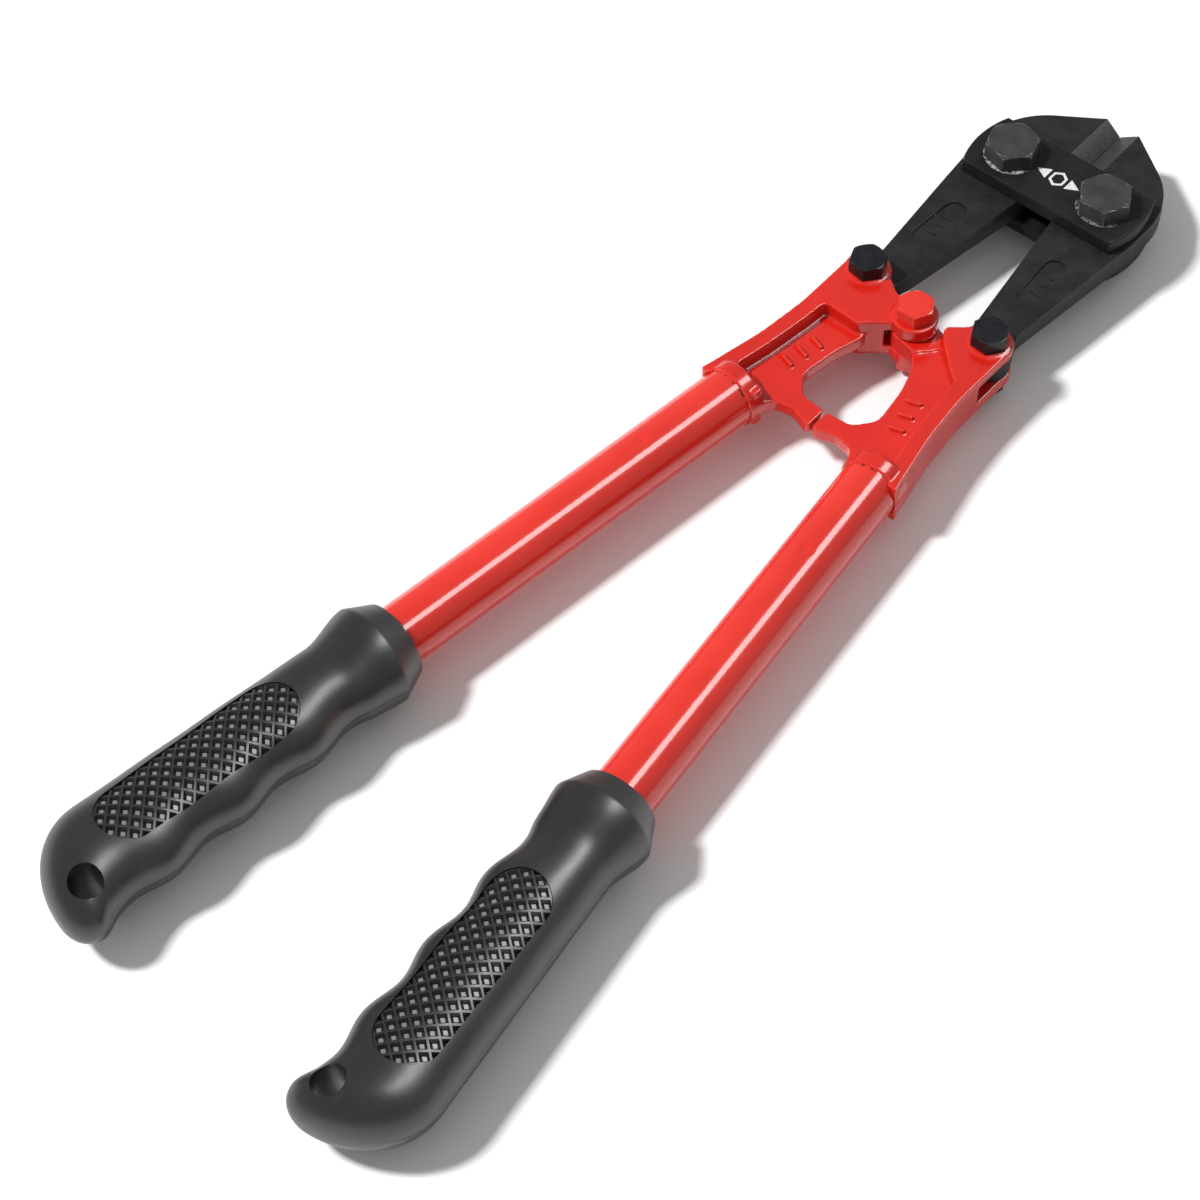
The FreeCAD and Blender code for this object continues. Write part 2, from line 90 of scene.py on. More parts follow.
# plates and jaws
PLATE_CENTRE_Y = 61.8
PLATE_OUTER_Z = 7.5
PRINT_HEIGHT = 0.06
JAW_PIVOT = (15.0, 61.5)
HANDLE_PIVOT = (19.6, 5.3)
BEVEL_WIDTH = 5.2
BEVEL_START_Y = 64.0
JAW_OVAL_FLOOR_Z = 2.55
FLASH_HALF = 0.35            # half height of the forging's trimmed flash line
FLASH_HEIGHT = 0.12
FLASH_CLEAR = 4.6            # no flash line this near the middle of a bore

# grips: G runs from the mouth of the grip towards the butt
GRIP_MOUTH_S = 110.6
GRIP_LENGTH = 106.0
CLOSE_G = 93.0               # stations lie closer together from here to the butt
FLARE_G = 6.8
FLARE_RADIUS = 13.4
MOUTH_RADIUS = 10.2
NECK_G = 20.0
NECK_OUTER = 10.7            # the outer and inner edges at the neck, from the tube axis
NECK_INNER = 12.0
NECK_HEIGHT = 10.3
BODY_HEIGHT = 10.8
BODY_GROWTH = (2.1, 2.8)     # what the outer and inner edges gain from the neck to GROWN_G
GROWN_G = 87.0
FINGER_PITCH = 21.8
FIRST_FINGER_G = 23.3
FINGER_DEPTH = 1.0
BUTT_OUTER = (86.0, 2.0, -10.6)   # where the rounding starts, its power, and the w it closes at
BUTT_INNER = (97.8, 4.0, 10.6)
BUTT_HEIGHT = (90.0, 2.4, 1.0)
BUTT_INNER_SWELL = 1.3       # what the inner edge gains over the 6 mm after SWELL_G
SWELL_G = 94.0
HOLE_G = 97.0
HOLE_W = -8.9
HOLE_RADIUS = 4.1
SLEEVE_BORE_RADIUS = 8.03

# inside of the sleeve's mouth
LIP_RADIUS = 9.85
LIP_PROUD = 0.12
BORE_CHAMFER = 0.3
PARTING_LINE = 0.1           # how far the mould's parting line stands out

# the diamond panel in the top and bottom of each grip
PANEL_START_G = 30.8
PANEL_END_G = 86.6
PANEL_CENTRE_W = -0.8
PANEL_HALF_WIDTH = 8.0
PANEL_RECESS = 0.3           # the ribs lie this far below the grip's skin
PANEL_DEPTH = 1.7
PANEL_CLEARANCE = 0.1        # round the pad of diamonds in its recess
DIAMOND_ALONG = 3.8          # diagonals of one diamond
DIAMOND_ACROSS = 4.1
PIT_STEPS = ((0.26, 0.0), (0.06, -0.12), (0.58, -0.8))   # rib, its rounded lip and the pit's wall

# painted castings
HEAD_VOXEL = 0.32
HEAD_SMOOTHING = 12
PLUG_LENGTH = 3.6            # fills the collar behind its lip
WEB_MARKS = 3                # raised bars on each web
WEB_MARK_AT = (15.6, -20.6)
WEB_MARK_STEP = (1.0, -4.8)
WEB_MARK_Z = 2.5
WEB_MARK_SIZE = (3.4, 1.1, 1.6)
WEB_MARK_TURN = 18

# bars in the oval of each jaw's tail, and the print on the upper plate
JAW_MARK_LENGTHS = (2.4, 1.5, 2.4)
JAW_MARK_AT = (16.7, 32.4)
JAW_MARK_STEP = (0.204, 3.4)
JAW_MARK_SIZE = (0.9, 0.5)
JAW_MARK_TURN = 3.4
JAW_MARK_VOXEL = 0.1
HEXAGON_RADIUS = 2.5
HEXAGON_LINE = 0.75
WEDGE_RADIUS = 2.2
WEDGE_AT = 4.3

FLOOR_HALF = 4.0             # metres

# camera: degrees, and millimetres from the centre joint
CAMERA_TURN = (43.012, 53.691, -2.323)   # azimuth, elevation and roll
CAMERA_AIM = (-5.6, -116.698, 0.0)
CAMERA_DISTANCE = 726.133

HANDLE = Matrix((
    (math.cos(HANDLE_ANGLE), math.sin(HANDLE_ANGLE), 0.0, COLLAR_END[0]),
    (math.sin(HANDLE_ANGLE), -math.cos(HANDLE_ANGLE), 0.0, COLLAR_END[1]),
    (0.0, 0.0, 1.0, 0.0),
    (0.0, 0.0, 0.0, 1.0),
))


# ------------------------------------------------------------------ mesh helpers
def mesh_object(name, bm):
    mesh = bpy.data.meshes.new(name)
    bm.to_mesh(mesh)
    bm.free()
    made = bpy.data.objects.new(name, mesh)
    bpy.context.scene.collection.objects.link(made)
    return made


def settle(made):
    """Turns an object's modifiers into its mesh."""
    graph = bpy.context.evaluated_depsgraph_get()
    final = bpy.data.meshes.new_from_object(made.evaluated_get(graph))
    made.modifiers.clear()
    made.data = final
    return made


def boolean(made, tool, operation):
    """Cuts tool out of made, or keeps only what they share, and removes tool."""
    modifier = made.modifiers.new("boolean", "BOOLEAN")
    modifier.operation = operation
    modifier.solver = "EXACT"
    modifier.object = tool
    settle(made)
    bpy.data.objects.remove(tool)
    return made


def remesh(made, voxel, passes):
    """One even skin over everything in the mesh, with its corners rounded by smoothing."""
    skin = made.modifiers.new("skin", "REMESH")
    skin.mode = "VOXEL"
    skin.voxel_size = voxel
    soften = made.modifiers.new("soften", "SMOOTH")
    soften.factor = 0.5
    soften.iterations = passes
    return settle(made)


def node_copy(name, flatten=False):
    """A bmesh copy of a CAD node, merged, in millimetres about the centre joint. Flatten joins
    the triangles of each flat face."""
    bm = bmesh.new()
    bm.from_mesh(frame["nodes"][name].data)
    bmesh.ops.transform(bm, matrix=TOOL.inverted(), verts=bm.verts)
    bmesh.ops.remove_doubles(bm, verts=bm.verts, dist=0.002)
    if flatten:
        bmesh.ops.dissolve_limit(bm, angle_limit=math.radians(0.4), verts=bm.verts, edges=bm.edges)
    return bm


def mark_edges(mesh, rounds):
    """Stores how far each point stands out as a ridge (positive) or lies in a corner (negative)."""
    count = len(mesh.vertices)
    points = np.empty(count * 3)
    mesh.vertices.foreach_get("co", points)
    points = points.reshape(-1, 3)
    normals = np.empty(count * 3, np.float32)
    mesh.vertex_normals.foreach_get("vector", normals)
    normals = normals.reshape(-1, 3)
    ends = np.empty(len(mesh.edges) * 2, np.int32)
    mesh.edges.foreach_get("vertices", ends)
    one, two = ends.reshape(-1, 2).T
    links = np.bincount(one, minlength=count) + np.bincount(two, minlength=count)
    links = np.maximum(links, 1)

    def neighbours(values):
        total = np.bincount(one, values[two], count) + np.bincount(two, values[one], count)
        return total / links

    lengths = np.linalg.norm(points[one] - points[two], axis=1)
    spacing = (np.bincount(one, lengths, count) + np.bincount(two, lengths, count)) / links
    middle = np.stack([neighbours(points[:, axis]) for axis in range(3)], axis=1)
    ridge = ((points - middle) * normals).sum(1) / np.maximum(spacing, 1e-6)
    for _ in range(rounds):
        ridge = (ridge + neighbours(ridge)) / 2
    # the red enamel reads this for its chips, which are wear, for a painted highlight on ridges and for
    # a painted shade in hollows
    layer = mesh.attributes.new("edge_wear_highlight_shade", "FLOAT", "POINT")
    layer.data.foreach_set("value", ridge.astype(np.float32))


def place(made, matrix, body, materials, replaced=(), sharp=None):
    """Puts a finished piece in the frame, on its body."""
    mesh = made.data
    mesh.transform(TOOL @ matrix)
    if (TOOL @ matrix).determinant() < 0:
        mesh.flip_normals()
    mesh.shade_smooth()
    if sharp is not None:
        mesh.set_sharp_from_angle(angle=math.radians(sharp))
    mesh.materials.clear()
    for material in materials:
        mesh.materials.append(material)
    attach(made, body)
    for name in replaced:
        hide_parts(name)


# ------------------------------------------------------------------ material helpers
RGBA = {"data_type": "RGBA"}
MULTIPLY = {"operation": "MULTIPLY"}
MAXIMUM = {"operation": "MAXIMUM"}


def linear(code):
    """An sRGB hex colour as linear values."""
    values = []
    for start in (0, 2, 4):
        value = int(code[start:start + 2], 16) / 255
        values.append(value / 12.92 if value <= 0.04045 else ((value + 0.055) / 1.055) ** 2.4)
    return (*values, 1.0)


def add(tree, kind, settings=None, values=None, links=None):
    """Adds a node: settings are its properties, values its sockets, links the sockets fed by others."""
    made = tree.nodes.new(kind)
    for name, value in (settings or {}).items():
        setattr(made, name, value)
    for socket, value in (values or {}).items():
        made.inputs[socket].default_value = value
    for socket, source in (links or {}).items():
        if isinstance(source, bpy.types.Node):
            source = source.outputs[0]
        tree.links.new(source, made.inputs[socket])
    return made


def new_material(name):
    """An empty material, its node tree, and the piece's own coordinates."""
    material = bpy.data.materials.new(name)
    material.use_nodes = True
    tree = material.node_tree
    tree.nodes.clear()
    return material, tree, add(tree, "ShaderNodeTexCoord").outputs["Object"]


def shade(tree, values, links):
    """Ends a material: its shader, with the sockets that are even all over and those that are fed."""
    shader = add(tree, "ShaderNodeBsdfPrincipled", values=values, links=links)
    add(tree, "ShaderNodeOutputMaterial", links={"Surface": shader})


def per_metre(size_mm):
    """Noise scale, in Object coordinates in metres, whose features are size_mm across."""
    return 1000.0 / size_mm


# ------------------------------------------------------------------ materials
def red_enamel_on_casting():
    """Thick glossy red enamel over a sand casting: the sandy skin shows through as a soft
    unevenness, ridges get a painted highlight in lighter orange, hollows a painted shade in deeper red,
    and a few chips are dark."""
    material, tree, here = new_material("red_enamel_on_casting")
    film = add(
        tree, "ShaderNodeTexNoise", values={"Scale": per_metre(14.0), "Detail": 3.0},
        links={"Vector": here},
    )
    film = add(tree, "ShaderNodeMapRange", values={1: 0.35, 2: 0.65}, links={0: film})
    colour = add(
        tree, "ShaderNodeMix", settings=RGBA,
        values={6: linear("C61C12"), 7: linear("D02216")}, links={0: film},
    ).outputs[2]
    # how far each point is a ridge or a hollow: it places the chips, which are wear, and the painted
    # highlight and painted shade below
    ridge_measure = add(tree, "ShaderNodeAttribute", settings={"attribute_name": "edge_wear_highlight_shade"}).outputs["Fac"]
    # painted highlight: ridges drawn a lighter orange
    painted_ridge_highlight = add(tree, "ShaderNodeMapRange", values={1: 0.04, 2: 0.2, 3: 0.0, 4: 0.45}, links={0: ridge_measure})
    colour = add(
        tree, "ShaderNodeMix", settings=RGBA, values={7: linear("E4543F")}, links={0: painted_ridge_highlight, 6: colour},
    ).outputs[2]
    # painted shade: hollows and corners drawn a deeper red
    painted_hollow_shade = add(
        tree, "ShaderNodeMapRange", values={1: -0.02, 2: -0.12, 3: 0.0, 4: 0.6}, links={0: ridge_measure},
    )
    colour = add(
        tree, "ShaderNodeMix", settings=RGBA, values={7: linear("A81A12")},
        links={0: painted_hollow_shade, 6: colour},
    ).outputs[2]
    spots = add(
        tree, "ShaderNodeTexNoise",
        values={"Scale": per_metre(2.3), "Detail": 3.0, "Roughness": 0.7}, links={"Vector": here},
    )
    spots = add(tree, "ShaderNodeMapRange", values={1: 0.65, 2: 0.69}, links={0: spots})
    corners = add(tree, "ShaderNodeMapRange", values={1: 0.06, 2: 0.16}, links={0: ridge_measure})
    chips = add(tree, "ShaderNodeMath", settings=MULTIPLY, links={0: spots, 1: corners})
    colour = add(
        tree, "ShaderNodeMix", settings=RGBA, values={7: linear("2A2320")}, links={0: chips, 6: colour},
    ).outputs[2]
    # the sand of the mould is near 1 mm across under the paint, the orange peel 1.6 mm
    sand = add(
        tree, "ShaderNodeTexNoise",
        values={"Scale": per_metre(1.1), "Detail": 4.0, "Roughness": 0.6}, links={"Vector": here},
    )
    sandy = add(
        tree, "ShaderNodeBump", values={"Strength": 0.25, "Distance": 0.03 * MM},
        links={"Height": sand},
    )
    peel = add(tree, "ShaderNodeTexNoise", values={"Scale": per_metre(1.6)}, links={"Vector": here})
    surface = add(
        tree, "ShaderNodeBump", values={"Strength": 0.3, "Distance": 0.02 * MM},
        links={"Height": peel, "Normal": sandy},
    )
    rough = add(tree, "ShaderNodeMapRange", values={1: 0.3, 2: 0.7, 3: 0.16, 4: 0.24}, links={0: sand})
    shade(
        tree, {"Specular IOR Level": 0.5, "Coat Weight": 0.3, "Coat Roughness": 0.12},
        {"Base Color": colour, "Roughness": rough, "Normal": surface},
    )
    return material


def red_enamel_on_tube():
    """The same enamel over smooth drawn tube and a machined bolt: sharper highlights with a faint
    orange peel, and a dark broken line where the film cracks at the collar and on the arrises."""
    material, tree, here = new_material("red_enamel_on_tube")
    film = add(
        tree, "ShaderNodeTexNoise", values={"Scale": per_metre(22.0), "Detail": 3.0},
        links={"Vector": here},
    )
    film = add(tree, "ShaderNodeMapRange", values={1: 0.35, 2: 0.65}, links={0: film})
    colour = add(
        tree, "ShaderNodeMix", settings=RGBA,
        values={6: linear("D22A1F"), 7: linear("DA3024")}, links={0: film},
    ).outputs[2]
    arris = add(tree, "ShaderNodeAttribute", settings={"attribute_name": "arris"}).outputs["Fac"]
    flakes = add(
        tree, "ShaderNodeTexNoise",
        values={"Scale": per_metre(1.2), "Detail": 3.0, "Roughness": 0.7}, links={"Vector": here},
    )
    flakes = add(tree, "ShaderNodeMapRange", values={1: 0.5, 2: 0.58}, links={0: flakes})
    cracked = add(tree, "ShaderNodeMath", settings=MULTIPLY, links={0: arris, 1: flakes})
    colour = add(
        tree, "ShaderNodeMix", settings=RGBA, values={7: linear("3A1512")},
        links={0: cracked, 6: colour},
    ).outputs[2]
    peel = add(tree, "ShaderNodeTexNoise", values={"Scale": per_metre(1.6)}, links={"Vector": here})
    surface = add(
        tree, "ShaderNodeBump", values={"Strength": 0.12, "Distance": 0.008 * MM},
        links={"Height": peel},
    )
    rough = add(tree, "ShaderNodeMapRange", values={1: 0.3, 2: 0.7, 3: 0.14, 4: 0.2}, links={0: peel})
    shade(
        tree, {"Specular IOR Level": 0.4, "Coat Weight": 0.5, "Coat Roughness": 0.06},
        {"Base Color": colour, "Roughness": rough, "Normal": surface},
    )
    return material


def black_phosphate(name, dark, light, roughness, grain_mm, seats=()):
    """Manganese phosphate over forged or stamped steel: charcoal, satin, with a fine crystal grain with
    painted glints, slow blotches, and broken bright lines on the arrises, partly rubbed bare and partly
    a painted edge highlight.
    seats names the pivots whose bolt heads have rubbed a ring bare, each with its strength."""
    material, tree, here = new_material(name)
    blotch = add(
        tree, "ShaderNodeTexNoise",
        values={"Scale": per_metre(6.0), "Detail": 4.0, "Roughness": 0.6}, links={"Vector": here},
    )
    share = add(tree, "ShaderNodeMapRange", values={1: 0.3, 2: 0.7}, links={0: blotch})
    colour = add(
        tree, "ShaderNodeMix", settings=RGBA, values={6: linear(dark), 7: linear(light)},
        links={0: share},
    ).outputs[2]
    grain = add(
        tree, "ShaderNodeTexNoise", values={"Scale": per_metre(grain_mm)}, links={"Vector": here},
    )
    # painted glints: single crystals drawn lighter, as if they catch the light, and coarser than the
    # real 0.02 mm so that they show
    painted_glints = add(
        tree, "ShaderNodeMapRange", values={1: 0.62, 2: 0.75, 3: 0.0, 4: 0.3}, links={0: grain},
    )
    colour = add(
        tree, "ShaderNodeMix", settings=RGBA, values={7: linear("5A5A5A")},
        links={0: painted_glints, 6: colour},
    ).outputs[2]
    # broken bright lines on the arrises: partly rubbed-bare steel, partly a painted edge highlight
    arris = add(tree, "ShaderNodeAttribute", settings={"attribute_name": "arris"}).outputs["Fac"]
    patches = add(
        tree, "ShaderNodeTexNoise",
        values={"Scale": per_metre(2.2), "Detail": 4.0, "Roughness": 0.7}, links={"Vector": here},
    )
    patches = add(
        tree, "ShaderNodeMapRange", values={1: 0.49, 2: 0.6, 3: 0.0, 4: 1.0}, links={0: patches},
    )
    bare_and_edge_highlight = add(tree, "ShaderNodeMath", settings=MULTIPLY, links={0: arris, 1: patches}).outputs[0]
    # rings of bare steel where the heads of the jaw bolts have turned on the plate
    for pivot, strength in seats:
        offset = add(
            tree, "ShaderNodeVectorMath", settings={"operation": "SUBTRACT"},
            values={1: joint_at[pivot]}, links={0: here},
        )
        apart = add(
            tree, "ShaderNodeVectorMath", settings=MULTIPLY, values={1: (1.0, 1.0, 0.0)},
            links={0: offset},
        )
        radius = add(
            tree, "ShaderNodeVectorMath", settings={"operation": "LENGTH"}, links={0: apart},
        ).outputs["Value"]
        ring = add(
            tree, "ShaderNodeMath", settings={"operation": "COMPARE"},
            values={1: 7.0 * MM, 2: 0.6 * MM}, links={0: radius},
        )
        parts = add(tree, "ShaderNodeSeparateXYZ", links={0: apart})
        rear = add(
            tree, "ShaderNodeMapRange", values={1: -2.0 * MM, 2: -4.5 * MM, 3: 0.0, 4: strength},
            links={0: parts.outputs["Y"]},
        )
        seat = add(tree, "ShaderNodeMath", settings=MULTIPLY, links={0: ring, 1: rear})
        chatter = add(
            tree, "ShaderNodeTexNoise",
            values={"Scale": per_metre(1.1), "Detail": 3.0, "Roughness": 0.7},
            links={"Vector": here},
        )
        chatter = add(tree, "ShaderNodeMapRange", values={1: 0.42, 2: 0.56}, links={0: chatter})
        seat = add(tree, "ShaderNodeMath", settings=MULTIPLY, links={0: seat, 1: chatter})
        bare_and_edge_highlight = add(tree, "ShaderNodeMath", settings=MAXIMUM, links={0: bare_and_edge_highlight, 1: seat}).outputs[0]
    colour = add(
        tree, "ShaderNodeMix", settings=RGBA, values={7: linear("C6C6C2")}, links={0: bare_and_edge_highlight, 6: colour},
    ).outputs[2]
    metal = add(tree, "ShaderNodeMath", settings=MULTIPLY, values={1: 0.35}, links={0: bare_and_edge_highlight})
    rough = add(
        tree, "ShaderNodeMapRange",
        values={1: 0.3, 2: 0.7, 3: roughness - 0.06, 4: roughness + 0.08}, links={0: grain},
    )
    waves = add(
        tree, "ShaderNodeBump", values={"Strength": 0.25, "Distance": 0.08 * MM},
        links={"Height": blotch},
    )
    surface = add(
        tree, "ShaderNodeBump", values={"Strength": 0.35, "Distance": 0.02 * MM},
        links={"Height": grain, "Normal": waves},
    )
    shade(
        tree, {"Specular IOR Level": 0.14},
        {"Base Color": colour, "Metallic": metal, "Roughness": rough, "Normal": surface},
    )
    return material


def black_oxide():
    """Hot black oxide on a turned bolt: blue-black, half gloss, drawn bright along the arrises, partly
    rubbed steel and partly a painted highlight.
    """
    material, tree, here = new_material("black_oxide_bolt")
    stain = add(
        tree, "ShaderNodeTexNoise",
        values={"Scale": per_metre(3.0), "Detail": 3.0, "Roughness": 0.6}, links={"Vector": here},
    )
    share = add(tree, "ShaderNodeMapRange", values={1: 0.3, 2: 0.7}, links={0: stain})
    colour = add(
        tree, "ShaderNodeMix", settings=RGBA,
        values={6: linear("121317"), 7: linear("1D2025")}, links={0: share},
    ).outputs[2]
    # the bright arrises: partly rubbed steel, partly a painted highlight
    arris = add(tree, "ShaderNodeAttribute", settings={"attribute_name": "arris"}).outputs["Fac"]
    patches = add(
        tree, "ShaderNodeTexNoise",
        values={"Scale": per_metre(1.6), "Detail": 3.0, "Roughness": 0.7}, links={"Vector": here},
    )
    patches = add(
        tree, "ShaderNodeMapRange", values={1: 0.5, 2: 0.68, 3: 0.04, 4: 0.5}, links={0: patches},
    )
    bare_and_edge_highlight = add(tree, "ShaderNodeMath", settings=MULTIPLY, links={0: arris, 1: patches})
    colour = add(
        tree, "ShaderNodeMix", settings=RGBA, values={7: linear("84898F")}, links={0: bare_and_edge_highlight, 6: colour},
    ).outputs[2]
    turned = add(tree, "ShaderNodeTexNoise", values={"Scale": per_metre(0.5)}, links={"Vector": here})
    surface = add(
        tree, "ShaderNodeBump", values={"Strength": 0.2, "Distance": 0.01 * MM},
        links={"Height": turned},
    )
    rough = add(tree, "ShaderNodeMapRange", values={1: 0.3, 2: 0.7, 3: 0.22, 4: 0.32}, links={0: stain})
    shade(
        tree, {"Specular IOR Level": 0.25},
        {"Base Color": colour, "Roughness": rough, "Normal": surface},
    )
    return material


def ground_steel():
    """The ground bevels of the jaws under their black finish: smoother than the forging, with
    fine grinding lines that run away from the cutting edge."""
    material, tree, here = new_material("ground_bevel_blackened")
    along = add(tree, "ShaderNodeMapping", values={"Scale": (0.15, 1.0, 0.15)}, links={"Vector": here})
    # real grinding lines are finer than 0.1 mm and are drawn at 0.3 mm so that they show
    lines = add(
        tree, "ShaderNodeTexNoise", values={"Scale": per_metre(0.3), "Detail": 3.0},
        links={"Vector": along},
    )
    share = add(tree, "ShaderNodeMapRange", values={1: 0.3, 2: 0.7}, links={0: lines})
    colour = add(
        tree, "ShaderNodeMix", settings=RGBA,
        values={6: linear("2E2F30"), 7: linear("424344")}, links={0: share},
    ).outputs[2]
    rough = add(tree, "ShaderNodeMapRange", values={1: 0.3, 2: 0.7, 3: 0.3, 4: 0.42}, links={0: lines})
    surface = add(
        tree, "ShaderNodeBump", values={"Strength": 0.4, "Distance": 0.01 * MM},
        links={"Height": lines},
    )
    shade(
        tree, {"Specular IOR Level": 0.2},
        {"Base Color": colour, "Roughness": rough, "Normal": surface},
    )
    return material


def moulded_rubber():
    """Satin black vinyl rubber from a lightly blasted mould: soft wide highlights, a fine even
    tooth, faint grey scuffs along the grip, and a painted highlight that pales the floors of the
    diamond pits."""
    material, tree, here = new_material("moulded_black_vinyl")
    cloud = add(
        tree, "ShaderNodeTexNoise",
        values={"Scale": per_metre(18.0), "Detail": 4.0, "Roughness": 0.6}, links={"Vector": here},
    )
    share = add(tree, "ShaderNodeMapRange", values={1: 0.35, 2: 0.65}, links={0: cloud})
    colour = add(
        tree, "ShaderNodeMix", settings=RGBA,
        values={6: linear("111112"), 7: linear("181819")}, links={0: share},
    ).outputs[2]
    stretched = add(
        tree, "ShaderNodeMapping", values={"Scale": (1.0, 0.25, 1.0)}, links={"Vector": here},
    )
    scuff = add(
        tree, "ShaderNodeTexNoise",
        values={"Scale": per_metre(3.0), "Detail": 4.0, "Roughness": 0.7},
        links={"Vector": stretched},
    )
    rubbed = add(tree, "ShaderNodeMapRange", values={1: 0.62, 2: 0.8, 3: 0.0, 4: 0.3}, links={0: scuff})
    colour = add(
        tree, "ShaderNodeMix", settings=RGBA, values={7: linear("484848")},
        links={0: rubbed, 6: colour},
    ).outputs[2]
    # painted highlight: the flat floors of the diamond pits are drawn paler, as if they catch the light
    painted_pit_highlight = add(tree, "ShaderNodeAttribute", settings={"attribute_name": "pit_floor"}).outputs["Fac"]
    colour = add(
        tree, "ShaderNodeMix", settings=RGBA, values={7: linear("767676")}, links={0: painted_pit_highlight, 6: colour},
    ).outputs[2]
    # the mould's blasted tooth is near 0.1 mm and is drawn at 0.35 mm so that it shows
    tooth = add(tree, "ShaderNodeTexNoise", values={"Scale": per_metre(0.35)}, links={"Vector": here})
    surface = add(
        tree, "ShaderNodeBump", values={"Strength": 0.2, "Distance": 0.02 * MM},
        links={"Height": tooth},
    )
    rough = add(
        tree, "ShaderNodeMapRange", values={1: 0.35, 2: 0.75, 3: 0.34, 4: 0.42}, links={0: scuff},
    )
    shade(
        tree, {"Specular IOR Level": 0.9},
        {"Base Color": colour, "Roughness": rough, "Normal": surface},
    )
    return material


def white_print():
    """Pad-printed white ink, thin and a little worn, so the black shows through in specks."""
    material, tree, here = new_material("worn_white_print")
    specks = add(
        tree, "ShaderNodeTexNoise",
        values={"Scale": per_metre(0.5), "Detail": 3.0, "Roughness": 0.7}, links={"Vector": here},
    )
    share = add(tree, "ShaderNodeMapRange", values={1: 0.32, 2: 0.45}, links={0: specks})
    colour = add(
        tree, "ShaderNodeMix", settings=RGBA,
        values={6: linear("5A5A5A"), 7: linear("DCDCDA")}, links={0: share},
    ).outputs[2]
    shade(tree, {"Roughness": 0.5}, {"Base Color": colour})
    return material


RED_CASTING = red_enamel_on_casting()
RED_TUBE = red_enamel_on_tube()
FORGED = black_phosphate("black_phosphate_forging", "1D1D1E", "2C2C2D", 0.42, 0.28)
STAMPED = black_phosphate("black_phosphate_stamping", "303031", "424243", 0.4, 0.22)
PLATE = black_phosphate(
    "black_phosphate_plate", "171718", "232324", 0.4, 0.22,
    (("left_jaw_pivot", 1.0), ("right_jaw_pivot", 0.4)),
)
GROUND = ground_steel()
OXIDE = black_oxide()
RUBBER = moulded_rubber()
INK = white_print()


# ------------------------------------------------------------------ grips
def smooth(t):
    t = max(0.0, min(1.0, t))
    return t * t * (3.0 - 2.0 * t)


def rounded(value, g, butt):
    """Carries a section value down to its closing value along the butt."""
    start, power, closing = butt
    if g <= start:
        return value
    t = (g - start) / (GRIP_LENGTH - start)
    return closing + (value - closing) * math.sqrt(max(0.0, 1.0 - t ** power))


def grip_section(g):
    """Outer edge, inner edge and half height of the grip at distance g from its mouth."""
    if g < FLARE_G:
        flare = MOUTH_RADIUS + (FLARE_RADIUS - MOUTH_RADIUS) * (g / FLARE_G)
        return flare, -flare, flare
    grow = (g - NECK_G) / (GROWN_G - NECK_G)
    outer = NECK_OUTER + BODY_GROWTH[0] * grow
    inner = NECK_INNER + BODY_GROWTH[1] * grow
    fingers = 0.5 - 0.5 * math.cos(2 * math.pi * (g - FIRST_FINGER_G) / FINGER_PITCH)
    inner += FINGER_DEPTH * (2.0 * fingers - 1.0) * smooth((g - 11.0) / 10.0)
    height = NECK_HEIGHT + (BODY_HEIGHT - NECK_HEIGHT) * smooth((g - NECK_G) / 20.0)
    blend = smooth((g - FLARE_G) / (NECK_G - FLARE_G))
    outer = FLARE_RADIUS + (outer - FLARE_RADIUS) * blend
    inner = FLARE_RADIUS + (inner - FLARE_RADIUS) * blend
    height = FLARE_RADIUS + (height - FLARE_RADIUS) * blend
    outer = rounded(outer, g, BUTT_OUTER)
    inner = rounded(inner + BUTT_INNER_SWELL * smooth((g - SWELL_G) / 6.0), g, BUTT_INNER)
    return outer, -inner, rounded(height, g, BUTT_HEIGHT)


def squareness(g):
    return 1.0 - 0.06 * smooth((g - FLARE_G) / (NECK_G - FLARE_G))


def grip_point(angle, g):
    outer, inner, height = grip_section(g)
    middle = (outer + inner) / 2
    half = (outer - inner) / 2
    power = squareness(g)
    across = math.copysign(abs(math.cos(angle)) ** power, math.cos(angle))
    above = math.copysign(abs(math.sin(angle)) ** power, math.sin(angle))
    return middle + half * across, height * above


def grip_top(w, g):
    """Height of the grip's skin over a point of its plan."""
    outer, inner, height = grip_section(g)
    middle = (outer + inner) / 2
    half = (outer - inner) / 2
    power = squareness(g)
    across = min(1.0, abs((w - middle) / half)) ** (1.0 / power)
    return height * math.sqrt(max(0.0, 1.0 - across * across)) ** power


def skin_grid(angles, stations, point):
    """A grid whose columns are angles and rows are stations, wrapped into a tube by point,
    which says where each pair of them lies."""
    bm = bmesh.new()
    columns, rows = len(angles) - 1, len(stations) - 1
    bmesh.ops.create_grid(bm, x_segments=columns, y_segments=rows, size=1.0)
    for vert in bm.verts:
        angle = angles[round((vert.co.x + 1.0) / 2.0 * columns)]
        station = stations[round((vert.co.y + 1.0) / 2.0 * rows)]
        vert.co = point(angle, station)
    bmesh.ops.remove_doubles(bm, verts=bm.verts, dist=0.0005)
    return bm


def panel_outline(clearance):
    """A prism over the stadium outline of the panel, larger by clearance all round."""
    bm = bmesh.new()
    bmesh.ops.create_circle(bm, cap_ends=True, segments=64, radius=PANEL_HALF_WIDTH + clearance)
    half_run = (PANEL_END_G - PANEL_START_G) / 2 - PANEL_HALF_WIDTH
    for vert in bm.verts:
        vert.co.y += half_run if vert.co.y > 0.001 else -half_run
        vert.co.x += PANEL_CENTRE_W
        vert.co.y += (PANEL_START_G + PANEL_END_G) / 2
        vert.co.z = -6.0
    made = bmesh.ops.extrude_face_region(bm, geom=bm.faces[:])
    top = [item for item in made["geom"] if isinstance(item, bmesh.types.BMVert)]
    bmesh.ops.translate(bm, vec=(0, 0, 12.0), verts=top)
    bmesh.ops.recalc_face_normals(bm, faces=bm.faces)
    return mesh_object("outline", bm)


